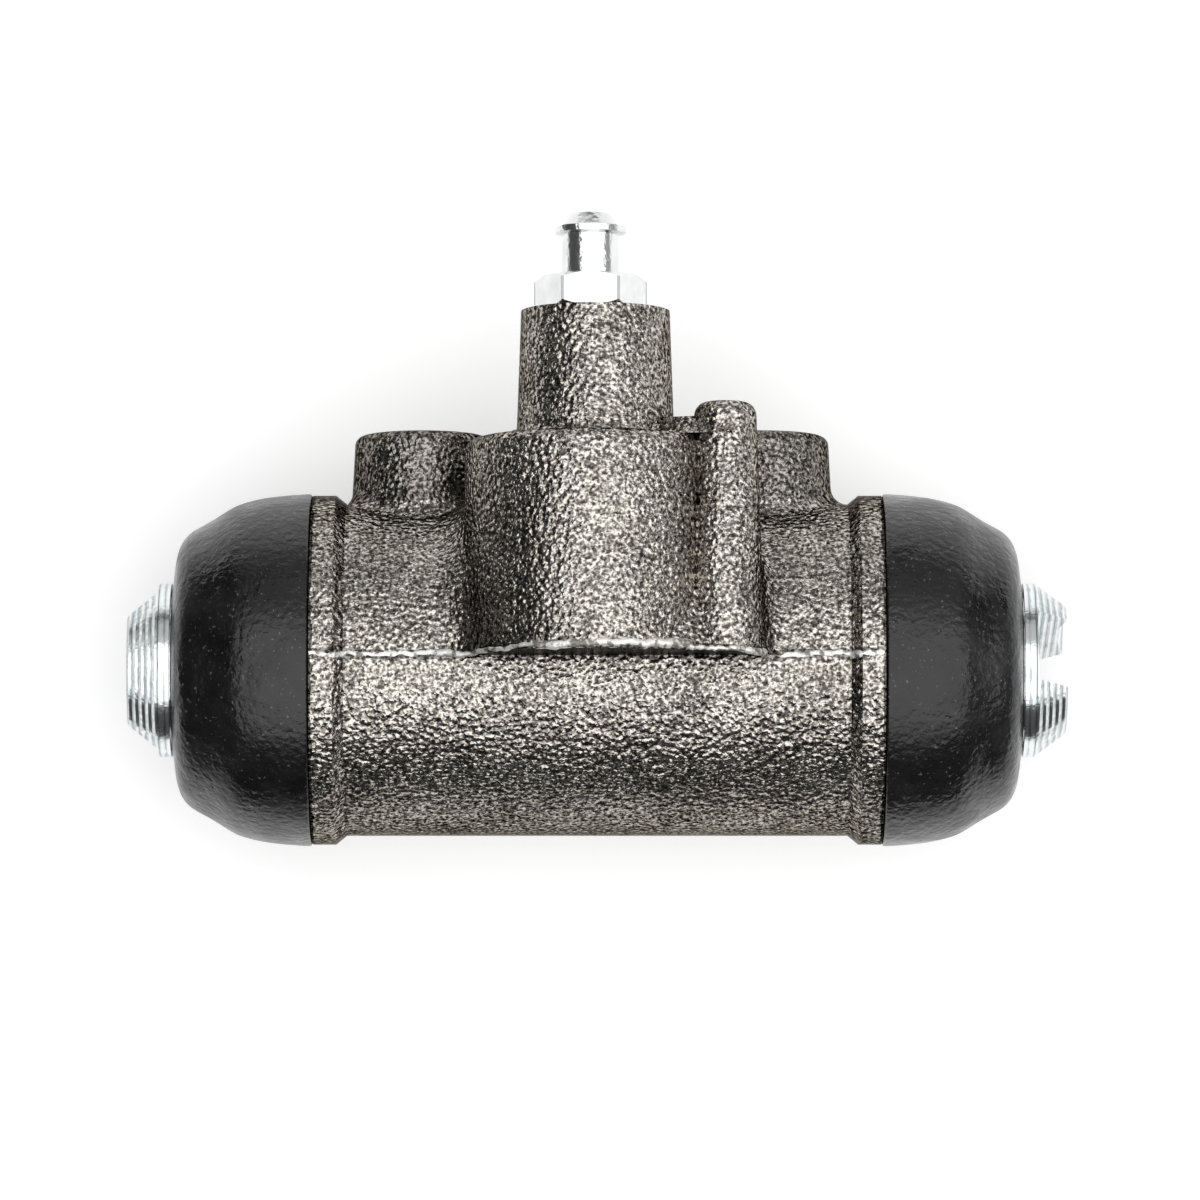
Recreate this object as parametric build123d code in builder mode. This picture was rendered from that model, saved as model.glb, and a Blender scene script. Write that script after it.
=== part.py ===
from build123d import *
import math
import os

# Wheel cylinder of a drum brake: a cast iron body with one through bore, two opposed
# pistons, a seal ring on each, a return spring between them, a rubber boot over each
# end and a bleeder screw on top.
# X runs along the bore, +Y points out through the backing plate, +Z is up on the vehicle.
# The origin is the middle of the two bolt holes, on the mounting face. Sizes are in mm.

# Bore and barrel
bore_diameter = 17.46
bore_shift = 0.45
barrel_wall = 4.99
collar_rise = 0.73
collar_outer = 23.5
collar_width = 1.9
collar_shoulder = 0.9
neck_wall = 3.57
neck_length = 5.4
bead_groove_start = 0.9
bead_groove_width = 1.6
bead_groove_depth = 0.8
bore_chamfer = 0.6

# Cast bosses on the mounting side, each with its rise over the barrel
draft_angle = 2.0
face_rise = 5.72
bolt_spacing = 28.0
bolt_boss_diameter = 11.2
bolt_boss_draft_angle = 3.0
bolt_boss_edge = 0.8
bolt_drill = 5.0
bolt_hole_depth = 7.5
bleeder_boss_diameter = 20.6
bleeder_boss_rise = 4.18
bleeder_boss_edge = 1.0
bleeder_wall_offset = 1.97
bleeder_x = -0.1
stub_top_diameter = 12.2
stub_length = 10.65
stub_shift = 0.4
inlet_boss_diameter = 15.0
inlet_boss_rise = 6.68
inlet_offset = 5.3
locator_reach = 1.36
locator_angle = 19.5
locator_diameter = 5.0
locator_rise = 6.88
locator_draft_angle = 2.0
locator_edge = 1.1
foot_height = 6.5
foot_taper_angle = 17.0
foot_inset = 0.3
web_width = 2.6
web_slope_angle = 42.0
cast_fillet = 0.8
boss_fillet = 3.0
bolt_fillet = 1.5
valley_fillet = 1.0
stub_fillet = 0.9
rib_fillet = 2.0

# Drillings
bleeder_tap_drill = 6.0
bleeder_passage = 4.8
bleeder_seat_height = 10.6
bleeder_passage_floor = 1.2
inlet_tap_drill = 9.0
inlet_depth = 10.0
inlet_well_diameter = 8.6
inlet_well_height = 2.2
inlet_seat_base = 6.6
inlet_seat_top = 3.6
inlet_seat_height = 1.6
feed_passage = 2.5
drill_point = 118.0
thread_chamfer = 0.5

# Pistons: inner end and seal groove from the middle of the bore, the rest from the body's end
piston_clearance = 0.03
piston_inner_end = 12.0
spigot_diameter = 6.8
spigot_length = 1.8
seal_groove_start = 13.6
seal_groove_width = 4.0
seal_groove_depth = 2.7
skirt_inset = 0.9
shank_step = 1.51
boot_groove_depth = 0.99
boot_groove_width = 2.0
band_reach = 6.3
band_width = 0.95
nose_length = 2.6
nose_drop = 1.76
nose_edge = 0.15
dish_land = 0.63
dish_depth = 0.5
slot_width = 5.87
slot_depth = 2.5
right_slot_angle = 13.5
left_slot_angle = 84.0

# Rubber seals and boots
seal_clearance = 0.04
seal_lip = 0.9
seal_mouth = 2.2
boot_clearance = 0.05
boot_rise = 0.15
boot_shoulder = 4.6
boot_shoulder_drop = 0.42
boot_knee = 6.7
boot_knee_drop = 1.1
boot_waist = 9.6
boot_waist_drop = 2.85
boot_nose_drop = 4.1
boot_wall = 1.6
boot_face_dish = 0.35
boot_nose_round = 0.9

# Return spring
spring_diameter = 9.2
spring_wire = 0.9
spring_coils = 7
spring_end_gap = 0.1

# Bleeder screw
hex_across_flats = 8.0
hex_gap = 0.1
hex_height = 2.75
hex_chamfer = 0.45
screw_clearance = 0.04
screw_neck_diameter = 4.63
nipple_diameter = 5.86
nipple_land = 0.5
nipple_shoulder = 0.15
nipple_end_diameter = 3.3
nipple_length = 5.2
nipple_cone = 1.0
nipple_cone_drop = 0.58
nipple_bevel = 0.12
screw_tip_diameter = 2.6
bleed_hole = 1.6
cross_hole = 1.4
cross_hole_height = 3.2

# Radii, places along the bore and heights over its axis that follow from the sizes above
bore_radius = bore_diameter / 2
barrel_radius = bore_radius + barrel_wall
collar_radius = barrel_radius + collar_rise
neck_radius = bore_radius + neck_wall
face_height = barrel_radius + face_rise
bleeder_boss_height = barrel_radius + bleeder_boss_rise
stub_height = bleeder_boss_height + stub_length
locator_height = barrel_radius + locator_rise
inlet_boss_height = barrel_radius + inlet_boss_rise
bore_y = -face_height
body_end = collar_outer + neck_length
shoulder_start = collar_outer - collar_width
barrel_length = 2 * (shoulder_start - collar_shoulder)
bead_start = collar_outer + bead_groove_start
bead_end = bead_start + bead_groove_width
bead_radius = neck_radius - bead_groove_depth
bleeder_offset = bore_radius + bleeder_wall_offset
stub_x = bleeder_x + stub_shift
locator_distance = bleeder_boss_diameter / 2 + locator_reach
locator_x = bleeder_x + locator_distance * math.cos(math.radians(locator_angle))
locator_offset = bleeder_offset + locator_distance * math.sin(math.radians(locator_angle))
piston_radius = bore_radius - piston_clearance
seal_groove_radius = piston_radius - seal_groove_depth
shank_radius = piston_radius - shank_step
boot_groove_radius = shank_radius - boot_groove_depth
nose_tip_radius = shank_radius - nose_drop
dish_radius = nose_tip_radius - dish_land
piston_skirt_end = body_end - skirt_inset
band_start = body_end + band_reach
band_end = band_start + band_width
nose_end = band_end + nose_length
boot_radius = collar_radius + boot_rise
boot_nose_radius = boot_radius - boot_nose_drop
boot_face = band_start - boot_clearance
boot_inner_face = band_start - boot_groove_width + boot_clearance
screw_radius = bleeder_tap_drill / 2 - screw_clearance
hex_bottom = stub_height + hex_gap
hex_top = hex_bottom + hex_height
nipple_top_height = hex_top + nipple_length
bore_axis = Axis((0, bore_y, 0), (1, 0, 0))


def along_bore(side):
    """Section plane through the bore axis: x runs outwards on that side, y is the radius."""
    return Plane((bore_shift, bore_y, 0), x_dir=(side, 0, 0), z_dir=(0, -side, 0))


def across_bore(distance, side=1, turn=0.0):
    """Plane square to the bore, with its x turned from +Z towards +Y."""
    angle = math.radians(turn)
    return Plane(
        (bore_shift + side * distance, bore_y, 0),
        x_dir=(0, math.sin(angle), math.cos(angle)),
        z_dir=(side, 0, 0),
    )


def across_boss(x, height, z):
    """Plane square to the bosses, at a height over the bore axis."""
    return Plane((x, bore_y + height, z), x_dir=(1, 0, 0), z_dir=(0, 1, 0))


def along_boss(x, z):
    """Section plane through a boss: x is the radius, y the height over the bore axis."""
    return Plane((x, bore_y, z), x_dir=(1, 0, 0), z_dir=(0, 0, 1))


def boss_axis(x, z):
    return Axis((x, bore_y, z), (0, 1, 0))


def point_depth(radius):
    """Length of a drill's cone."""
    return radius / math.tan(math.radians(drill_point / 2))


def turned(plane, axis, points, mode=Mode.ADD):
    """A form turned from a closed outline."""
    with BuildSketch(plane) as outline:
        with BuildLine():
            Polyline(*points, close=True)
        make_face()
    revolve(outline.sketch, axis=axis, mode=mode)


def barrel_core():
    """The plain barrel that each boss is cast on to."""
    with BuildSketch(across_bore(0)) as section:
        Circle(barrel_radius)
    extrude(section.sketch, amount=barrel_length / 2, both=True)


def where_cast(block):
    """The edges where bosses meet the barrel."""
    return block.edges().filter_by(GeomType.BSPLINE)


def rim(block, height):
    """The round edges of a boss at a height over the bore axis."""
    level = bore_y + height
    return block.edges().filter_by(GeomType.CIRCLE).filter_by_position(Axis.Y, level - 0.01, level + 0.01)


# Bleeder boss: run through the barrel for its fillet, then parted at the mould's joint,
# which leaves its flat underside. The stub that holds the screw stands on it.
with BuildPart() as bleeder_casting:
    barrel_core()
    with BuildSketch(across_boss(bleeder_x, 0, bleeder_offset)):
        Circle(bleeder_boss_diameter / 2)
    extrude(amount=bleeder_boss_height, both=True)
    fillet(where_cast(bleeder_casting), boss_fillet)
    split(bisect_by=Plane((0, bore_y, 0), z_dir=(0, 1, 0)), keep=Keep.TOP)
    fillet(rim(bleeder_casting, bleeder_boss_height), bleeder_boss_edge)
    with BuildSketch(across_boss(stub_x, stub_height, bleeder_offset)):
        Circle(stub_top_diameter / 2)
    extrude(amount=bleeder_boss_height - stub_height, taper=-draft_angle)
    fillet(rim(bleeder_casting, bleeder_boss_height).sort_by(SortBy.LENGTH)[:1], stub_fillet)

# Locating rib beside it, run into the boss along its side and spread at its foot
with BuildPart() as locator_casting:
    barrel_core()
    with BuildSketch(across_boss(locator_x, locator_height, locator_offset)):
        Circle(locator_diameter / 2)
    extrude(amount=-locator_height - face_height, taper=-locator_draft_angle)
    fillet(where_cast(locator_casting), rib_fillet)
    split(bisect_by=Plane((0, bore_y, 0), z_dir=(0, 1, 0)), keep=Keep.TOP)
    with BuildSketch(across_boss(bleeder_x, 0, bleeder_offset)) as rib_plan:
        Circle(bleeder_boss_diameter / 2)
        with Locations((locator_x - bleeder_x, bleeder_offset - locator_offset)):
            Circle(locator_diameter / 2)
        fillet(rib_plan.vertices().group_by(Axis.X)[-1], valley_fillet)
    extrude(amount=bleeder_boss_height - bleeder_boss_edge)
    fillet(rim(locator_casting, locator_height), locator_edge)
    with BuildSketch(across_boss(bleeder_x, 0, bleeder_offset)) as foot_plan:
        with BuildLine() as foot_outline:
            CenterArc((0, 0), bleeder_boss_diameter / 2 - foot_inset, 0, 360)
            CenterArc((locator_x - bleeder_x, bleeder_offset - locator_offset), locator_diameter / 2, 0, 360)
        make_hull(foot_outline.edges())
    extrude(amount=foot_height, taper=foot_taper_angle)

# Inlet boss, on the far side
with BuildPart() as inlet_casting:
    barrel_core()
    with BuildSketch(across_boss(0, inlet_boss_height, -inlet_offset)):
        Circle(inlet_boss_diameter / 2)
    extrude(amount=-inlet_boss_height)
    fillet(where_cast(inlet_casting), cast_fillet)
    fillet(rim(inlet_casting, inlet_boss_height), bolt_boss_edge)

# The two bolt bosses
with BuildPart() as bolt_casting:
    barrel_core()
    for side in (-1, 1):
        with BuildSketch(across_boss(side * bolt_spacing / 2, face_height, 0)):
            Circle(bolt_boss_diameter / 2)
        extrude(amount=-face_height, taper=-bolt_boss_draft_angle)
    fillet(where_cast(bolt_casting), bolt_fillet)
    fillet(rim(bolt_casting, face_height), bolt_boss_edge)

# Cylinder body: one casting, then bored and drilled
with BuildPart() as cylinder_body:
    half_profile = [
        (0, 0),
        (0, barrel_radius),
        (shoulder_start - collar_shoulder, barrel_radius),
        (shoulder_start, collar_radius),
        (collar_outer, collar_radius),
        (collar_outer, neck_radius),
        (bead_start, neck_radius),
        (bead_start, bead_radius),
        (bead_end, bead_radius),
        (bead_end, neck_radius),
        (body_end, neck_radius),
        (body_end, 0),
    ]
    for side in (-1, 1):
        turned(along_bore(side), bore_axis, half_profile)
    for casting in (bleeder_casting, locator_casting, inlet_casting, bolt_casting):
        add(casting.part)

    # Web from the stub to the locating rib, level with the mounting face, with sloping sides
    rib_dx = locator_x - stub_x
    rib_dz = locator_offset - bleeder_offset
    with BuildSketch(Plane((stub_x, 0, bleeder_offset), x_dir=(rib_dx, 0, rib_dz), z_dir=(0, 1, 0))):
        Rectangle(math.hypot(rib_dx, rib_dz), web_width, align=(Align.MIN, Align.CENTER))
    extrude(amount=bleeder_boss_height - face_height, taper=-web_slope_angle)

    # Through bore, opened at both mouths
    for side in (-1, 1):
        turned(
            along_bore(side),
            bore_axis,
            [
                (0, 0),
                (0, bore_radius),
                (body_end - bore_chamfer, bore_radius),
                (body_end, bore_radius + bore_chamfer),
                (body_end, 0),
            ],
            Mode.SUBTRACT,
        )

    # Tapped holes for the two bolts
    bolt_radius = bolt_drill / 2
    bolt_floor = face_height - bolt_hole_depth
    for side in (-1, 1):
        x = side * bolt_spacing / 2
        turned(
            along_boss(x, 0),
            boss_axis(x, 0),
            [
                (0, face_height),
                (bolt_radius + thread_chamfer, face_height),
                (bolt_radius, face_height - thread_chamfer),
                (bolt_radius, bolt_floor),
                (0, bolt_floor - point_depth(bolt_radius)),
            ],
            Mode.SUBTRACT,
        )

    # Bleeder drilling: tapped, then a passage that breaks into the top of the bore
    tap_radius = bleeder_tap_drill / 2
    passage_radius = bleeder_passage / 2
    seat_edge = bleeder_seat_height - point_depth(tap_radius) + point_depth(passage_radius)
    turned(
        along_boss(bleeder_x, bleeder_offset),
        boss_axis(bleeder_x, bleeder_offset),
        [
            (0, stub_height),
            (tap_radius + thread_chamfer, stub_height),
            (tap_radius, stub_height - thread_chamfer),
            (tap_radius, bleeder_seat_height),
            (passage_radius, seat_edge),
            (passage_radius, bleeder_passage_floor),
            (0, bleeder_passage_floor - point_depth(passage_radius)),
        ],
        Mode.SUBTRACT,
    )

    # Inlet: tapped, with a raised cone that the flared pipe seats on, and a feed to the bore
    inlet_radius = inlet_tap_drill / 2
    feed_radius = feed_passage / 2
    inlet_floor = inlet_boss_height - inlet_depth
    turned(
        along_boss(0, -inlet_offset),
        boss_axis(0, -inlet_offset),
        [
            (0, inlet_boss_height),
            (inlet_radius + thread_chamfer, inlet_boss_height),
            (inlet_radius, inlet_boss_height - thread_chamfer),
            (inlet_radius, inlet_floor + inlet_well_height),
            (inlet_well_diameter / 2, inlet_floor + inlet_well_height),
            (inlet_well_diameter / 2, inlet_floor),
            (inlet_seat_base / 2, inlet_floor),
            (inlet_seat_top / 2, inlet_floor + inlet_seat_height),
            (feed_radius, inlet_floor + inlet_seat_height),
            (feed_radius, 0),
            (0, 0),
        ],
        Mode.SUBTRACT,
    )
cylinder_body.part.label = "cylinder_body"


# Bleeder screw: hexagon, hose nipple, plain thread, conical tip and its two drillings
with BuildPart() as bleeder_screw:
    corner = hex_across_flats / math.sqrt(3)
    with BuildSketch(across_boss(bleeder_x, hex_bottom, bleeder_offset)):
        RegularPolygon(hex_across_flats / 2, 6, major_radius=False)
    extrude(amount=hex_height)
    screw_plane = along_boss(bleeder_x, bleeder_offset)
    screw_axis = boss_axis(bleeder_x, bleeder_offset)
    turned(
        screw_plane,
        screw_axis,
        [
            (0, hex_bottom),
            (hex_across_flats / 2, hex_bottom),
            (corner, hex_bottom + hex_chamfer),
            (corner, hex_top - hex_chamfer),
            (hex_across_flats / 2, hex_top),
            (0, hex_top),
        ],
        Mode.INTERSECT,
    )
    screw_neck_radius = screw_neck_diameter / 2
    nipple_radius = nipple_diameter / 2
    nipple_rim = nipple_top_height - nipple_cone - nipple_bevel
    tip_radius = screw_tip_diameter / 2
    cone_top = seat_edge + screw_radius - passage_radius + screw_clearance
    turned(
        screw_plane,
        screw_axis,
        [
            (0, nipple_top_height),
            (nipple_end_diameter / 2, nipple_top_height),
            (nipple_radius - nipple_cone_drop, nipple_top_height - nipple_cone),
            (nipple_radius, nipple_rim),
            (nipple_radius, nipple_rim - nipple_land),
            (screw_neck_radius, nipple_rim - nipple_land - nipple_shoulder),
            (screw_neck_radius, hex_bottom + hex_height / 2),
            (screw_radius, hex_bottom + hex_height / 2),
            (screw_radius, cone_top),
            (tip_radius, cone_top - screw_radius + tip_radius),
            (0, cone_top - screw_radius + tip_radius),
        ],
    )
    bleed_radius = bleed_hole / 2
    bleed_floor = cone_top + cross_hole_height
    turned(
        screw_plane,
        screw_axis,
        [
            (0, nipple_top_height),
            (bleed_radius, nipple_top_height),
            (bleed_radius, bleed_floor),
            (0, bleed_floor - point_depth(bleed_radius)),
        ],
        Mode.SUBTRACT,
    )
    with BuildSketch(Plane((bleeder_x, bore_y + bleed_floor, bleeder_offset), z_dir=(1, 0, 0))):
        Circle(cross_hole / 2)
    extrude(amount=screw_radius, both=True, mode=Mode.SUBTRACT)
bleeder_screw.part.label = "bleeder_screw"


def piston(side, slot_angle):
    """Turned piston with a seal groove, a boot groove and a slotted nose for the shoe web."""
    seal_end = seal_groove_start + seal_groove_width
    with BuildPart() as blank:
        turned(
            along_bore(side),
            bore_axis,
            [
                (piston_inner_end - spigot_length, 0),
                (piston_inner_end - spigot_length, spigot_diameter / 2),
                (piston_inner_end, spigot_diameter / 2),
                (piston_inner_end, piston_radius),
                (seal_groove_start, piston_radius),
                (seal_groove_start, seal_groove_radius),
                (seal_end, seal_groove_radius),
                (seal_end, piston_radius),
                (piston_skirt_end, piston_radius),
                (piston_skirt_end + piston_radius - shank_radius, shank_radius),
                (band_start - boot_groove_width, shank_radius),
                (band_start - boot_groove_width, boot_groove_radius),
                (band_start, boot_groove_radius),
                (band_start, shank_radius),
                (band_end, shank_radius),
                (nose_end - nose_edge, nose_tip_radius),
                (nose_end, nose_tip_radius - nose_edge),
                (nose_end, dish_radius),
                (nose_end - dish_depth, dish_radius - 2 * dish_depth),
                (nose_end - dish_depth, 0),
            ],
        )
        with BuildSketch(across_bore(nose_end, side, slot_angle)):
            Rectangle(2 * shank_radius, slot_width)
        extrude(amount=-slot_depth, mode=Mode.SUBTRACT)
    return blank.part


def seal(side):
    """Ring seal in the piston's groove, its lips towards the fluid."""
    inner = seal_groove_radius + seal_clearance
    start = seal_groove_start + seal_clearance
    end = seal_groove_start + seal_groove_width - seal_clearance
    with BuildPart() as ring:
        turned(
            along_bore(side),
            bore_axis,
            [
                (start, inner),
                (start, inner + seal_lip / 2),
                (start + seal_mouth, (inner + piston_radius) / 2),
                (start, piston_radius - seal_lip / 2),
                (start, piston_radius),
                (end, piston_radius),
                (end, inner),
            ],
        )
    return ring.part


def boot(side):
    """Moulded rubber boot: a bead in the body's groove, a bowed cone and a lip in the piston's groove."""
    start = collar_outer + boot_clearance
    neck_bore = neck_radius + boot_clearance
    with BuildPart() as cover:
        with BuildSketch(along_bore(side)):
            with BuildLine():
                outside = Spline(
                    (start, boot_radius),
                    (collar_outer + boot_shoulder, boot_radius - boot_shoulder_drop),
                    (collar_outer + boot_knee, boot_radius - boot_knee_drop),
                    (collar_outer + boot_waist, boot_radius - boot_waist_drop),
                    (boot_face - boot_face_dish - boot_nose_round / 2, boot_nose_radius),
                    (boot_face - boot_face_dish, boot_nose_radius - boot_nose_round),
                    (boot_face, boot_groove_radius + boot_clearance),
                    tangents=[(1, -0.05), (0.1, -1)],
                )
                Polyline(
                    outside @ 1,
                    (boot_inner_face, boot_groove_radius + boot_clearance),
                    (boot_inner_face, boot_nose_radius - boot_wall),
                    (body_end + 2 * boot_clearance, neck_bore),
                    (bead_end - boot_clearance, neck_bore),
                    (bead_end - boot_clearance, bead_radius + boot_clearance),
                    (bead_start + boot_clearance, bead_radius + boot_clearance),
                    (bead_start + boot_clearance, neck_bore),
                    (start, neck_bore),
                    outside @ 0,
                )
            make_face()
        revolve(axis=bore_axis)
    return cover.part


# Return spring between the two piston spigots, its end coils ground flat
with BuildPart() as return_spring:
    coil_radius = (spring_diameter - spring_wire) / 2
    span = 2 * piston_inner_end
    with BuildLine():
        coil = Helix(
            span / spring_coils,
            span,
            coil_radius,
            center=(bore_shift - piston_inner_end, bore_y, 0),
            direction=(1, 0, 0),
        )
    with BuildSketch(Plane(coil @ 0, z_dir=coil % 0)):
        Circle(spring_wire / 2)
    sweep(is_frenet=True)
    with BuildSketch(across_bore(0)):
        Circle(spring_diameter)
    extrude(amount=piston_inner_end - spring_end_gap, both=True, mode=Mode.INTERSECT)
return_spring.part.label = "return_spring"

left_piston = piston(-1, left_slot_angle)
left_piston.label = "left_piston"
right_piston = piston(1, right_slot_angle)
right_piston.label = "right_piston"
left_seal = seal(-1)
left_seal.label = "left_seal"
right_seal = seal(1)
right_seal.label = "right_seal"
left_boot = boot(-1)
left_boot.label = "left_boot"
right_boot = boot(1)
right_boot.label = "right_boot"

os.makedirs("parts", exist_ok=True)
export_step(cylinder_body.part, "parts/cylinder_body.step")
export_step(bleeder_screw.part, "parts/bleeder_screw.step")
export_step(return_spring.part, "parts/return_spring.step")
export_step(left_piston, "parts/left_piston.step")
export_step(right_piston, "parts/right_piston.step")
export_step(left_seal, "parts/left_seal.step")
export_step(right_seal, "parts/right_seal.step")
export_step(left_boot, "parts/left_boot.step")
export_step(right_boot, "parts/right_boot.step")
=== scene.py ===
import bpy
import math
import random
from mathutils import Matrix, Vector


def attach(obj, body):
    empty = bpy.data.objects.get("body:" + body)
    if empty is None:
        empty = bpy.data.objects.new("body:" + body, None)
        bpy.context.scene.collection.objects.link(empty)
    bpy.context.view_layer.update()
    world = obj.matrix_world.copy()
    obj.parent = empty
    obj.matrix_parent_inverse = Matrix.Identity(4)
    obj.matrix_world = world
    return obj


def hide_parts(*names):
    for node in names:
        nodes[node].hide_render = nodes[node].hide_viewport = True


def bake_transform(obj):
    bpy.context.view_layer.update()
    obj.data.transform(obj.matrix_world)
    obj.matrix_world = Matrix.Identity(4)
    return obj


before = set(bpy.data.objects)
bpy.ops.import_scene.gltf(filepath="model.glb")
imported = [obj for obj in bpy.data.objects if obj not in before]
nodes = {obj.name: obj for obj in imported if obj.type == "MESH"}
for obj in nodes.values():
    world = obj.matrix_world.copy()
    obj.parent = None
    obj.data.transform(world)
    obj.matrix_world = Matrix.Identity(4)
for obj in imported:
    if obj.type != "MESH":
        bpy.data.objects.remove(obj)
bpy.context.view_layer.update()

# Cylinder body: one grey iron casting, poured in sand, so its skin is coarse and sparkles.
# Its shape is the frame's own solid. It gets a sand-cast skin, darker in the sand's hollows (painted shade)
# and paler on its grains (painted glints) under a random stain. It has painted shade along the parting,
# under the bleeder boss, on the slopes to the collars, on the necks and on the upper part round the bolt
# bosses, and bare machined faces on the inlet boss and the bolt bosses.
bore_y = -0.01944
bore_x = 0.00045
# Where the casting gets painted shade: a band along the parting, the bleeder boss's flat underside, the
# slopes up to the collars, the necks under the boots, and the upper part round the bolt bosses.
joint_low = -0.00034
joint_high = 0.00052
joint_front = 0.0122
underside_low = -0.0005
underside_high = 0.00006
underside_front = 0.01385
underside_reach = 0.0175
slope_start = 0.0206
slope_end = 0.02088
neck_start = 0.0233
low_edge_height = 0.0135
low_edge_front = 0.0068
bolt_side = 0.008
bolt_face_rise = 0.0045
inlet_face = 0.0023
face_plane = -0.0001
bare_iron = (0.46, 0.445, 0.42)


def shader(name, base, metallic, roughness):
    """A new finish with its shader, ready for its grain."""
    finish = bpy.data.materials.new(name)
    finish.use_nodes = True
    node = finish.node_tree.nodes["Principled BSDF"]
    node.inputs["Base Color"].default_value = (*base, 1)
    node.inputs["Metallic"].default_value = metallic
    node.inputs["Roughness"].default_value = roughness
    return finish, finish.node_tree, node


def place(tree):
    """The place on the piece, in metres."""
    return tree.nodes.new("ShaderNodeTexCoord").outputs["Object"]


def grain(tree, where, scale, detail=2.0, rough=0.5):
    """Even noise of a given fineness."""
    node = tree.nodes.new("ShaderNodeTexNoise")
    node.inputs["Scale"].default_value = scale
    node.inputs["Detail"].default_value = detail
    node.inputs["Roughness"].default_value = rough
    tree.links.new(where, node.inputs["Vector"])
    return node.outputs["Fac"]


def ramp(tree, value, *stops):
    """Turns a value into colours, each stop with its place."""
    node = tree.nodes.new("ShaderNodeValToRGB")
    elements = node.color_ramp.elements
    while len(elements) < len(stops):
        elements.new(0.5)
    for element, (position, colour) in zip(elements, stops):
        element.position = position
        element.color = (*colour, 1)
    tree.links.new(value, node.inputs["Fac"])
    return node.outputs["Color"]


def relief(tree, height, depth, below=None):
    """Raises and sinks the skin by a height, over another relief if there is one."""
    node = tree.nodes.new("ShaderNodeBump")
    node.inputs["Strength"].default_value = 1.0
    node.inputs["Distance"].default_value = depth
    tree.links.new(height, node.inputs["Height"])
    if below is not None:
        tree.links.new(below, node.inputs["Normal"])
    return node.outputs["Normal"]


def combine(tree, operation, a, b):
    """Joins two values."""
    node = tree.nodes.new("ShaderNodeMath")
    node.operation = operation
    for socket, value in zip(node.inputs, (a, b)):
        if isinstance(value, float):
            socket.default_value = value
        else:
            tree.links.new(value, socket)
    return node.outputs["Value"]


def between(tree, value, low, high):
    """One where a value lies between two limits, and nothing elsewhere."""
    above = combine(tree, "GREATER_THAN", value, low)
    return combine(tree, "MULTIPLY", above, combine(tree, "LESS_THAN", value, high))


def cells(tree, where, scale):
    """Round grains packed side by side, highest in their middles."""
    node = tree.nodes.new("ShaderNodeTexVoronoi")
    node.feature = "SMOOTH_F1"
    node.inputs["Scale"].default_value = scale
    node.inputs["Smoothness"].default_value = 0.4
    tree.links.new(where, node.inputs["Vector"])
    return combine(tree, "SUBTRACT", 1.0, node.outputs["Distance"])


def cover(tree, share, under, top):
    """One colour over another, by a share."""
    node = tree.nodes.new("ShaderNodeMix")
    node.data_type = "RGBA"
    tree.links.new(share, node.inputs["Factor"])
    tree.links.new(under, node.inputs["A"])
    node.inputs["B"].default_value = (*top, 1)
    return node.outputs["Result"]


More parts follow.
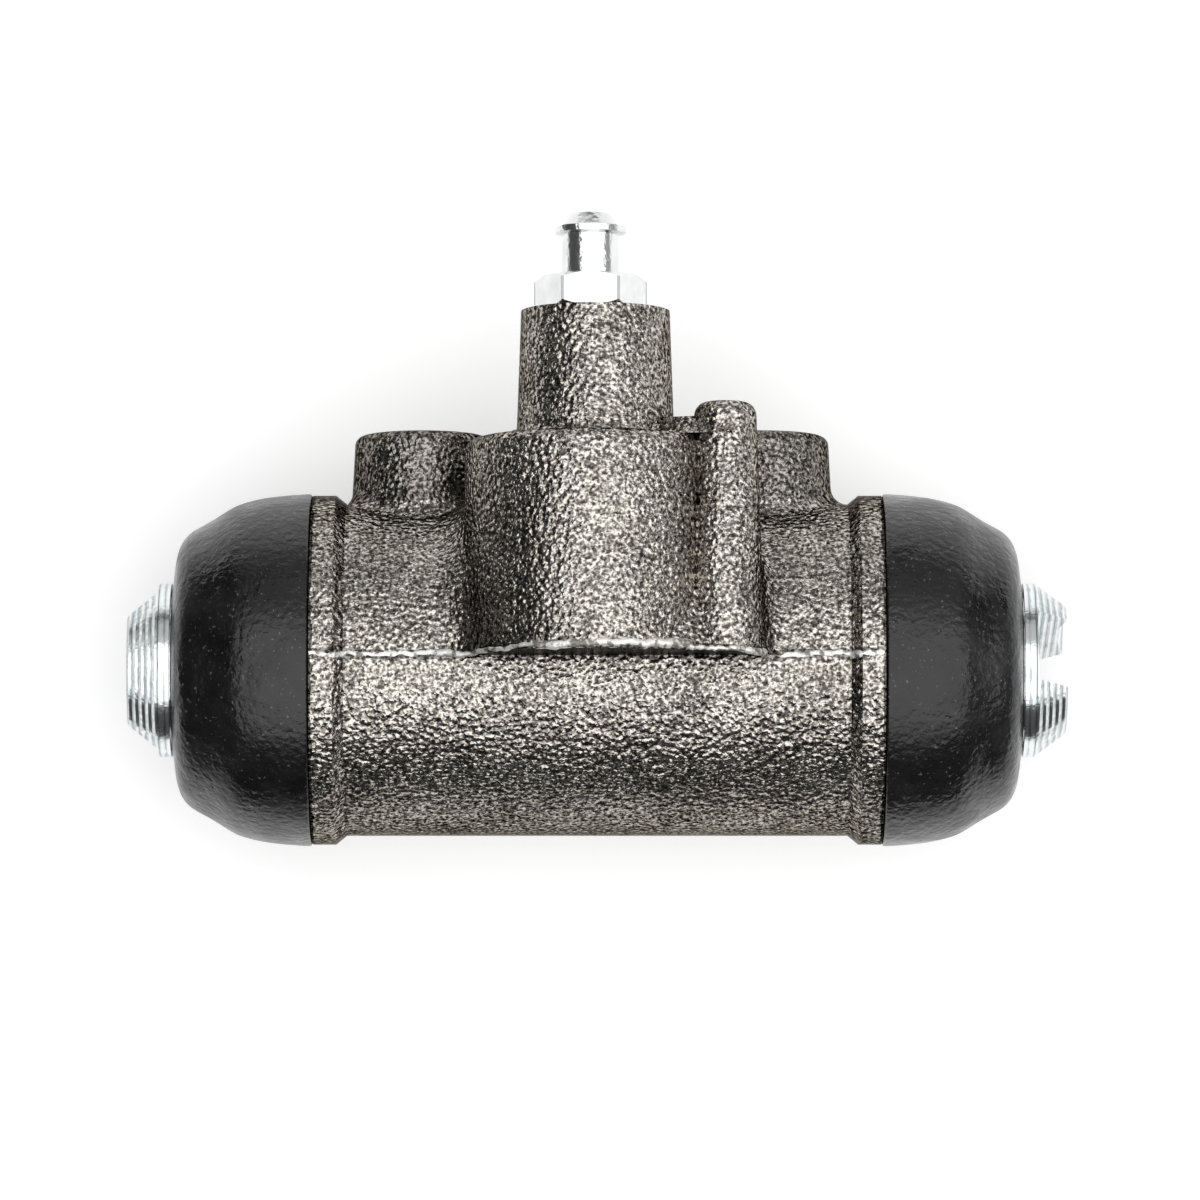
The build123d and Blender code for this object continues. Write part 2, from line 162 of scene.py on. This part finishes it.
def cast_skin(name, dark, middle, bright, roughness):
    """Sand-cast iron: fine grains over slow lumps, with painted shade in the hollows and painted glints on
    the grains, painted shade along the parting, under the bleeder boss, on the collar slopes, necks and bolt
    bosses, and bare machined faces.
    """
    finish, tree, node = shader(name, middle, 1.0, roughness)
    node.inputs["Specular Tint"].default_value = (0.17, 0.16, 0.145, 1)
    where = place(tree)
    sand = grain(tree, where, 3300, 1.0, 0.6)
    lumps = grain(tree, where, 650, 2.0, 0.5)
    stain = grain(tree, where, 150, 3.0, 0.6)
    # The colour follows the same sand noise that raises the skin: darker in its hollows, a painted shade,
    # and paler on its grains, a painted glint, under a slow random stain.
    sand_share = combine(tree, "MULTIPLY", sand, 0.8)
    stain_share = combine(tree, "MULTIPLY", stain, 0.2)
    shade = combine(tree, "ADD", sand_share, stain_share)
    colour = ramp(tree, shade, (0.39, dark), (0.50, middle), (0.60, bright))
    soft = relief(tree, lumps, 0.00008)
    fine = relief(tree, sand, 0.00009, soft)
    rough = relief(tree, cells(tree, where, 2100), 0.00016, fine)
    tree.links.new(rough, node.inputs["Normal"])
    axes = tree.nodes.new("ShaderNodeSeparateXYZ")
    tree.links.new(where, axes.inputs["Vector"])
    wander = combine(tree, "MULTIPLY", combine(tree, "SUBTRACT", lumps, 0.5), 0.0012)
    level = combine(tree, "SUBTRACT", axes.outputs["Y"], bore_y)
    height = combine(tree, "ADD", level, wander)
    reach = combine(tree, "ABSOLUTE", combine(tree, "SUBTRACT", axes.outputs["X"], bore_x), 0.0)
    reach = combine(tree, "ADD", reach, combine(tree, "MULTIPLY", wander, 0.5))
    # Painted shade, by place: a band beside the flash along the parting, the boss's flat underside, the
    # slopes up to the collars, the necks under the boots and the upper part round the bolt bosses.
    joint = between(tree, height, joint_low, joint_high)
    joint = combine(tree, "MULTIPLY", joint, combine(tree, "GREATER_THAN", axes.outputs["Z"], joint_front))
    under = between(tree, level, underside_low, underside_high)
    ahead = combine(tree, "GREATER_THAN", axes.outputs["Z"], underside_front)
    under = combine(tree, "MULTIPLY", under, ahead)
    under = combine(tree, "MULTIPLY", under, combine(tree, "LESS_THAN", reach, underside_reach))
    slope = between(tree, combine(tree, "ADD", reach, wander), slope_start, slope_end)
    neck = combine(tree, "GREATER_THAN", reach, neck_start)
    low = combine(tree, "GREATER_THAN", height, low_edge_height)
    low = combine(tree, "MULTIPLY", low, combine(tree, "LESS_THAN", axes.outputs["Z"], low_edge_front))
    # The painted shade takes 60% along the parting, 30% on the slopes, 80% on the necks, 45% round the bolt
    # bosses and 70% under the boss.
    painted_shade = combine(tree, "MULTIPLY", joint, 0.6)
    for place_of_painted_shade, darkness in ((slope, 0.3), (neck, 0.8), (low, 0.45), (under, 0.7)):
        layer_of_painted_shade = combine(tree, "MULTIPLY", place_of_painted_shade, darkness)
        painted_shade = combine(tree, "MAXIMUM", painted_shade, layer_of_painted_shade)
    unshaded_share = combine(tree, "SUBTRACT", 1.0, painted_shade)
    shaded = tree.nodes.new("ShaderNodeVectorMath")
    shaded.operation = "SCALE"
    tree.links.new(colour, shaded.inputs["Vector"])
    tree.links.new(unshaded_share, shaded.inputs["Scale"])
    aside = combine(tree, "ABSOLUTE", axes.outputs["X"], 0.0)
    face_reach = combine(tree, "MULTIPLY", combine(tree, "GREATER_THAN", aside, bolt_side), bolt_face_rise)
    face_reach = combine(tree, "ADD", face_reach, inlet_face)
    faced = combine(tree, "LESS_THAN", axes.outputs["Z"], face_reach)
    faced = combine(tree, "MULTIPLY", faced, combine(tree, "GREATER_THAN", axes.outputs["Y"], face_plane))
    plain = combine(tree, "SUBTRACT", 1.0, combine(tree, "MULTIPLY", faced, 0.9))
    for layer in (soft, fine, rough):
        tree.links.new(plain, layer.node.inputs["Strength"])
    milled = cover(tree, faced, shaded.outputs["Vector"], bare_iron)
    tree.links.new(milled, node.inputs["Base Color"])
    return finish


def dress(node_name, finish):
    """Gives a solid of the frame its finish."""
    mesh = nodes[node_name].data
    mesh.materials.clear()
    mesh.materials.append(finish)


cast_iron = cast_skin(
    "sand_cast_iron",
    dark=(0.08, 0.072, 0.065), middle=(0.295, 0.273, 0.247), bright=(0.65, 0.616, 0.566), roughness=0.22,
)
dress("cylinder_body", cast_iron)

# Casting flash: the thin raised line where the two halves of the sand mould met, broken off and worn bright.
# It is part of the casting, and runs along both sides of the barrel, over the collars and round the bleeder
# boss. Lengths here are millimetres.
barrel_radius = 13.72
collar_radius = 14.45
slope_from = 20.7
slope_to = 21.6
slope_length = 0.9
slope_rise = 0.73
bore_middle = 0.45
boss_circle = (-0.1, 10.7, 10.3)
rib_circle = (10.89, 14.59, 3.22)
valley_start = 3.84
valley_end = 11.85
valley_reach = 20.22
valley_fall = 0.4145
boss_foot_start = -13.0
boss_foot_end = -9.7
boss_foot_rise = 0.3
front_stretches = (
    (-13.3, 14.6, (0.16, 0.3, 0.06)),
    (-10.5, 12.0, (0.2, 0.2, 0.06)),
    (-4.9, 8.0, (0.44, 0.40, 0.13)),
)
flash_points = 157
flash_start = -23.0
flash_step = 0.3
flash_rise = 0.12
back_radius = 0.77
back_depth = 0.69
flash_seed = random.Random(7)
flash_skin, tree, node = shader("worn_casting_flash", (0.93, 0.915, 0.885), 1.0, 0.62)
where = place(tree)
tree.links.new(
    ramp(tree, grain(tree, where, 1400, 2.0), (0.39, (0.3, 0.28, 0.255)), (0.5, (0.95, 0.94, 0.91))),
    node.inputs["Base Color"],
)
tree.links.new(relief(tree, grain(tree, where, 2200, 2.0), 0.0001), node.inputs["Normal"])


def barrel_outline(x):
    """The radius of the barrel and its collars at a place along the bore."""
    aside = abs(x - bore_middle)
    if aside > slope_to:
        return collar_radius
    return barrel_radius + max(0.0, aside - slope_from) / slope_length * slope_rise


def parting_outline(x):
    """How far the casting reaches towards the front at its parting, at a place along the bore."""
    reach = barrel_outline(x)
    for centre_x, centre_z, radius in (boss_circle, rib_circle):
        across = abs(x - centre_x)
        if across < radius:
            reach = max(reach, centre_z + math.sqrt(radius * radius - across * across))
    if valley_start < x < valley_end:
        reach = max(reach, valley_reach - (x - valley_start) * valley_fall)
    if boss_foot_start < x < boss_foot_end:
        reach = max(reach, barrel_radius + (x - boss_foot_start) * boss_foot_rise)
    return reach


def flash_line(name, points):
    """A ragged line of metal along the parting, from points and radii in millimetres."""
    curve = bpy.data.curves.new(name, "CURVE")
    curve.dimensions = "3D"
    curve.bevel_depth = 0.001
    curve.bevel_resolution = 4
    curve.use_fill_caps = True
    line = curve.splines.new("POLY")
    line.points.add(len(points) - 1)
    drift = 0.0
    for point, (x, y, z, radius) in zip(line.points, points):
        drift = 0.7 * drift + flash_seed.uniform(-0.1, 0.1)
        point.co = (x / 1000, bore_y + (y + drift) / 1000, z / 1000, 1)
        point.radius = radius + flash_seed.uniform(-0.032, 0.032)
    piece = bpy.data.objects.new(name, curve)
    bpy.context.scene.collection.objects.link(piece)
    bpy.ops.object.select_all(action="DESELECT")
    piece.select_set(True)
    bpy.context.view_layer.objects.active = piece
    bpy.ops.object.convert(target="MESH")
    piece = bpy.context.view_layer.objects.active
    piece.data.materials.append(flash_skin)
    bpy.ops.object.shade_smooth()
    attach(piece, "cylinder")
    return piece


front = []
for i in range(flash_points):
    x = flash_start + i * flash_step
    rise, radius, proud = flash_rise, 0.4, 0.055
    for start, end, shape in front_stretches:
        if start < x < end:
            rise, radius, proud = shape
    front.append((x, rise, parting_outline(x) - radius + proud, radius))
flash_line("front_flash", front)
back = []
for i in range(flash_points):
    x = flash_start + i * flash_step
    back.append((x, flash_rise, back_depth - barrel_outline(x), back_radius))
flash_line("back_flash", back)

# Pistons: turned light alloy, bright, with fine rings from the turning. The rings on the cone of the nose
# are coarser, so each shines like a narrow band, and a dark line parts it from the next: partly the rings'
# relief, partly painted shade, as the colour is darker at every ring's groove over the whole piston.
nose_start = 0.0362
rings_per_metre = 1850.0
turned_alloy, tree, node = shader("turned_piston_alloy", (0.70, 0.725, 0.735), 1.0, 0.2)
where = place(tree)
axes = tree.nodes.new("ShaderNodeSeparateXYZ")
tree.links.new(where, axes.inputs["Vector"])
smear = grain(tree, where, 500, 3.0)
reach = combine(tree, "ABSOLUTE", combine(tree, "SUBTRACT", axes.outputs["X"], bore_x), 0.0)
reach = combine(tree, "ADD", reach, combine(tree, "MULTIPLY", smear, 0.0002))
step = combine(tree, "PINGPONG", combine(tree, "MULTIPLY", reach, rings_per_metre), 0.5)
on_nose = combine(tree, "GREATER_THAN", reach, nose_start)
nose_steps = relief(tree, combine(tree, "MULTIPLY", step, on_nose), 0.0003)
turned_skin = relief(tree, grain(tree, where, 3000, 2.0), 0.00002, nose_steps)
tree.links.new(turned_skin, node.inputs["Normal"])
# Painted shade: the colour darkens at the bottom of every turned ring, over the whole piston, under a random
# smear.
smear_share = combine(tree, "MULTIPLY", smear, 0.6)
groove_shade_share = combine(tree, "MULTIPLY", step, 0.7)
tone = combine(tree, "ADD", smear_share, groove_shade_share)
tree.links.new(
    ramp(tree, tone, (0.33, (0.38, 0.43, 0.45)), (0.45, (0.70, 0.73, 0.74)), (0.62, (0.78, 0.795, 0.80))),
    node.inputs["Base Color"],
)
dress("left_piston", turned_alloy)
dress("right_piston", turned_alloy)

# Seal rings: smooth black rubber, one in each piston's groove. Their shape is the frame's own solid.
# They sit inside the bore, so no side shows them.
seal_rubber, tree, node = shader("smooth_seal_rubber", (0.03, 0.03, 0.03), 0.0, 0.4)
tree.links.new(
    ramp(
        tree, grain(tree, place(tree), 900),
        (0.3, (0.018, 0.018, 0.018)), (0.7, (0.045, 0.045, 0.045)),
    ),
    node.inputs["Base Color"],
)
dress("left_seal", seal_rubber)
dress("right_seal", seal_rubber)

# Threads: cut in the bare iron of the inlet and of the two bolt holes, so they are cleaner than the cast
# skin. Each is a ridge wound round inside its hole.
thread_pitch = 0.001
steps_per_turn = 40
cut_iron, tree, node = shader("bare_cut_iron", (0.45, 0.44, 0.42), 1.0, 0.35)
tree.links.new(
    ramp(
        tree, grain(tree, place(tree), 1800, 2.0),
        (0.3, (0.26, 0.25, 0.235)), (0.65, (0.55, 0.54, 0.52)),
    ),
    node.inputs["Base Color"],
)


def wound(name, centre, axis, section, turns, length, steps):
    """A closed section wound round an axis. The section is corners, size, turn, widening and place."""
    corners, radius, turn, widening, offset = section
    bpy.ops.object.select_all(action="DESELECT")
    bpy.ops.mesh.primitive_circle_add(vertices=corners, radius=radius, location=centre)
    piece = bpy.context.object
    piece.name = name
    bpy.ops.object.mode_set(mode="EDIT")
    bpy.ops.mesh.select_all(action="SELECT")
    bpy.ops.transform.rotate(value=turn, orient_axis="Z", center_override=centre)
    bpy.ops.transform.resize(value=(*widening, 1), center_override=centre)
    bpy.ops.transform.translate(value=(*offset, 0))
    bpy.ops.object.mode_set(mode="OBJECT")
    winding = piece.modifiers.new("winding", "SCREW")
    winding.axis = axis
    winding.angle = turns * 2 * math.pi
    winding.screw_offset = length
    winding.steps = steps
    winding.render_steps = steps
    winding.use_smooth_shade = True
    bpy.ops.object.modifier_apply(modifier=winding.name)
    bpy.ops.object.mode_set(mode="EDIT")
    bpy.ops.mesh.select_all(action="SELECT")
    bpy.ops.mesh.fill_holes(sides=0)
    bpy.ops.mesh.select_all(action="SELECT")
    bpy.ops.mesh.normals_make_consistent(inside=False)
    bpy.ops.object.mode_set(mode="OBJECT")
    bpy.ops.object.transform_apply(location=True, rotation=True, scale=True)
    return piece


for name, x, z, top, hole_radius, turns in (
    ("inlet_thread", 0.0, -0.0053, 0.00035, 0.0045, 6.5),
    ("left_bolt_thread", -0.014, 0.0, -0.0006, 0.0025, 6.3),
    ("right_bolt_thread", 0.014, 0.0, -0.0006, 0.0025, 6.3),
):
    ridge = (3, 0.0005, math.pi / 2, (0.5, 0.9), (hole_radius + 0.00003, 0))
    piece = wound(name, (x, top, z), "Y", ridge, turns, -thread_pitch * turns, int(turns * steps_per_turn))
    bpy.ops.object.shade_flat()
    piece.data.materials.append(cut_iron)
    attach(piece, "cylinder")

# Return spring: drawn steel wire, wound between the pistons. It is made as two halves that meet in the
# middle of the bore.
half_turns = 3.5
half_length = 0.01145
half_steps = 168
spring_wire, tree, node = shader("drawn_spring_wire", (0.45, 0.46, 0.48), 1.0, 0.35)
tree.links.new(
    ramp(tree, grain(tree, place(tree), 1500), (0.3, (0.36, 0.37, 0.39)), (0.7, (0.52, 0.53, 0.55))),
    node.inputs["Base Color"],
)
for side, name, body in ((-1, "left_spring_half", "left_seal"), (1, "right_spring_half", "right_seal")):
    wire = (12, 0.00045, 0.0, (1, 1), (0, 0.00415))
    piece = wound(name, (bore_x, bore_y, 0), "X", wire, side * half_turns, side * half_length, half_steps)
    piece.data.materials.append(spring_wire)
    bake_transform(piece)
    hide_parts("return_spring")

# Boots: moulded black rubber, a lip over the body's neck and one in the piston's groove, with a bowed cone
# between. The skin is satin, with a little pale dust from the box. The outline is millimetres along the bore
# and from it.
boot_outline = [
    (23.55, 14.30), (23.62, 14.55), (23.80, 14.60), (24.8, 14.54), (26.3, 14.42), (27.3, 14.29),
    (28.3, 14.10), (29.3, 13.83), (29.9, 13.60), (30.6, 13.20), (31.3, 12.74), (32.0, 12.31),
    (32.8, 11.88), (33.5, 11.50), (33.95, 11.10), (34.32, 10.62), (34.58, 10.05), (34.74, 9.45),
    (34.84, 8.80), (34.98, 7.60), (35.10, 6.80), (35.14, 6.32), (34.30, 6.28), (33.29, 6.32),
    (33.27, 7.40), (32.9, 8.80), (30.9, 10.90), (29.05, 12.36), (26.05, 12.36), (26.0, 11.55),
    (24.45, 11.55), (24.4, 12.36), (23.56, 12.36), (23.55, 13.40),
]
boot_sides = 128
boot_rubber, tree, node = shader("satin_boot_rubber", (0.006, 0.006, 0.0062), 0.0, 0.3)
where = place(tree)
speck = ramp(tree, grain(tree, where, 3300, 1.0), (0.68, (0, 0, 0)), (0.76, (1, 1, 1)))
cloud = ramp(
    tree, grain(tree, where, 180, 3.0),
    (0.35, (0.003, 0.003, 0.0032)), (0.7, (0.010, 0.0098, 0.0095)),
)
tree.links.new(cover(tree, speck, cloud, (0.1, 0.096, 0.09)), node.inputs["Base Color"])
swell = relief(tree, grain(tree, where, 260, 2.0), 0.0001)
pores = relief(tree, grain(tree, where, 1700, 2.0), 0.0001, swell)
tree.links.new(pores, node.inputs["Normal"])
tree.links.new(
    ramp(tree, grain(tree, where, 420, 3.0), (0.35, (0.2, 0.2, 0.2)), (0.65, (0.37, 0.37, 0.37))),
    node.inputs["Roughness"],
)


def turned_rings(name, side, outline, sides):
    """A round piece about the bore, drawn out ring by ring from its first ring and closed on it."""
    bpy.ops.object.select_all(action="DESELECT")
    first_x, first_r = outline[0]
    x = bore_x + side * first_x / 1000
    bpy.ops.mesh.primitive_circle_add(
        vertices=sides, radius=first_r / 1000, location=(x, bore_y, 0), rotation=(0, math.pi / 2, 0)
    )
    piece = bpy.context.object
    piece.name = name
    bpy.ops.object.mode_set(mode="EDIT")
    bpy.ops.mesh.select_all(action="SELECT")
    last_x, last_r = outline[0]
    for next_x, next_r in outline[1:] + outline[:1]:
        shift = side * (next_x - last_x) / 1000
        bpy.ops.mesh.extrude_edges_move(TRANSFORM_OT_translate={"value": (shift, 0, 0)})
        ratio = next_r / last_r
        bpy.ops.transform.resize(
            value=(1, ratio, ratio), center_override=(bore_x + side * next_x / 1000, bore_y, 0)
        )
        last_x, last_r = next_x, next_r
    bpy.ops.mesh.select_all(action="SELECT")
    bpy.ops.mesh.remove_doubles(threshold=0.000005)
    bpy.ops.mesh.normals_make_consistent(inside=False)
    bpy.ops.object.mode_set(mode="OBJECT")
    bpy.ops.object.transform_apply(location=True, rotation=True, scale=True)
    return piece


for side, name, body in ((-1, "left_boot", "left_seal"), (1, "right_boot", "right_seal")):
    piece = turned_rings(name + "_rubber", side, boot_outline, boot_sides)
    round_off = piece.modifiers.new("soft", "SUBSURF")
    round_off.levels = 1
    round_off.render_levels = 1
    bpy.ops.object.modifier_apply(modifier=round_off.name)
    bpy.ops.object.shade_smooth()
    piece.data.materials.append(boot_rubber)
    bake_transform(piece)
    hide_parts(name)

# Bleeder screw: turned steel with bright zinc plate, its flats and rims almost white under the lamps.
# Its shape is the frame's own solid. The plate is darker at the hexagon's corners.
screw_x = -0.0001
screw_z = 0.0107
corner_start = 0.00454
zinc_plate, tree, node = shader("bright_zinc_plate", (0.74, 0.75, 0.75), 1.0, 0.2)
where = place(tree)
tree.links.new(relief(tree, grain(tree, where, 2300, 2.0), 0.00005), node.inputs["Normal"])
axes = tree.nodes.new("ShaderNodeSeparateXYZ")
tree.links.new(where, axes.inputs["Vector"])
off_x = combine(tree, "SUBTRACT", axes.outputs["X"], screw_x)
off_z = combine(tree, "SUBTRACT", axes.outputs["Z"], screw_z)
square = combine(tree, "ADD", combine(tree, "POWER", off_x, 2.0), combine(tree, "POWER", off_z, 2.0))
out = combine(tree, "SQRT", square, 0.0)
# A thin band at the hexagon's corners, more than 4.54 mm from the screw's axis, is darker.
corner_band = combine(tree, "GREATER_THAN", out, corner_start)
tone = combine(tree, "SUBTRACT", grain(tree, where, 600, 2.0), combine(tree, "MULTIPLY", corner_band, 0.6))
tree.links.new(
    ramp(tree, tone, (0.0, (0.36, 0.37, 0.37)), (0.3, (0.68, 0.69, 0.685)), (0.7, (0.78, 0.79, 0.785))),
    node.inputs["Base Color"],
)
dress("bleeder_screw", zinc_plate)

# Stage: a white table that the cylinder lies on, back down, tipped as it rests on its boots and inlet
# boss. The table glows a little, as white card does in a bright studio.
table_tilt = math.radians(5.38)
table_drop = -0.01278
table_middle = 0.7
bpy.ops.object.select_all(action="DESELECT")
bpy.ops.mesh.primitive_grid_add(
    x_subdivisions=8, y_subdivisions=8, size=1.6,
    location=(
        table_middle,
        table_middle * math.cos(table_tilt),
        table_drop + table_middle * math.sin(table_tilt),
    ),
    rotation=(table_tilt, 0, 0),
)
table = bpy.context.object
table.name = "white_table"
bpy.ops.object.transform_apply(location=True, rotation=True, scale=True)
table_white, tree, node = shader("matt_white_table", (0.8, 0.8, 0.8), 0.0, 0.8)
node.inputs["Emission Color"].default_value = (1, 1, 1, 1)
node.inputs["Emission Strength"].default_value = 0.42
table.data.materials.append(table_white)


# Lamps: soft panels overhead, at the right and beyond the table, so that the dark iron has bright bands.
def lamp(name, place_at, target, width, height, brightness):
    """A soft panel of light of an even brightness, turned to its target."""
    data = bpy.data.lights.new(name, "AREA")
    data.shape = "RECTANGLE"
    data.size = width
    data.size_y = height
    data.energy = brightness * math.pi * width * height
    panel = bpy.data.objects.new(name, data)
    panel.location = place_at
    aim = (target[0] - place_at[0], target[1] - place_at[1], target[2] - place_at[2])
    panel.rotation_euler = Vector(aim).to_track_quat("-Z", "Y").to_euler()
    bpy.context.scene.collection.objects.link(panel)


lamp("overhead_softbox", (0.5, -0.32, 0.95), (0.5, -0.32, 0), 2.6, 1.7, 1.65)
lamp("right_panel", (2.4, 0.0, 0.55), (0, 0, 0.4), 2.0, 0.8, 0.3)
lamp("far_softbox", (0.45, 1.3, 0.95), (0.45, 1.3, 0), 2.6, 1.5, 0.5)
lamp("far_wall", (0.0, 1.6, 0.2), (0, 0, 0.1), 2.4, 0.4, 0.7)

# Room: white where the camera looks past the table, and dim walls for all that the piece mirrors.
world = bpy.data.worlds.new("studio")
bpy.context.scene.world = world
world.use_nodes = True
room = world.node_tree
backdrop = room.nodes["Background"]
backdrop.inputs["Color"].default_value = (0.99, 0.99, 0.99, 1)
walls = room.nodes.new("ShaderNodeBackground")
walls.inputs["Color"].default_value = (0.07, 0.07, 0.07, 1)
seen = room.nodes.new("ShaderNodeMixShader")
room.links.new(room.nodes.new("ShaderNodeLightPath").outputs["Is Camera Ray"], seen.inputs["Fac"])
room.links.new(walls.outputs["Background"], seen.inputs[1])
room.links.new(backdrop.outputs["Background"], seen.inputs[2])
room.links.new(seen.outputs["Shader"], room.nodes["World Output"].inputs["Surface"])
bpy.context.scene.view_settings.view_transform = "Standard"

# Camera: far above the table with a long lens, nearly square to the table.
view_tilt = math.radians(5.6)
view_width = math.radians(7.46)
distance = 0.763
camera_data = bpy.data.cameras.new("camera")
camera_data.sensor_width = 36
camera_data.lens = 18 / math.tan(view_width / 2)
camera_data.clip_start = 0.01
camera_data.clip_end = 20
camera = bpy.data.objects.new("camera", camera_data)
camera.location = (0.00068, -0.0136 - math.sin(view_tilt) * distance, math.cos(view_tilt) * distance)
camera.rotation_euler = (view_tilt, 0, 0)
bpy.context.scene.collection.objects.link(camera)
bpy.context.scene.camera = camera
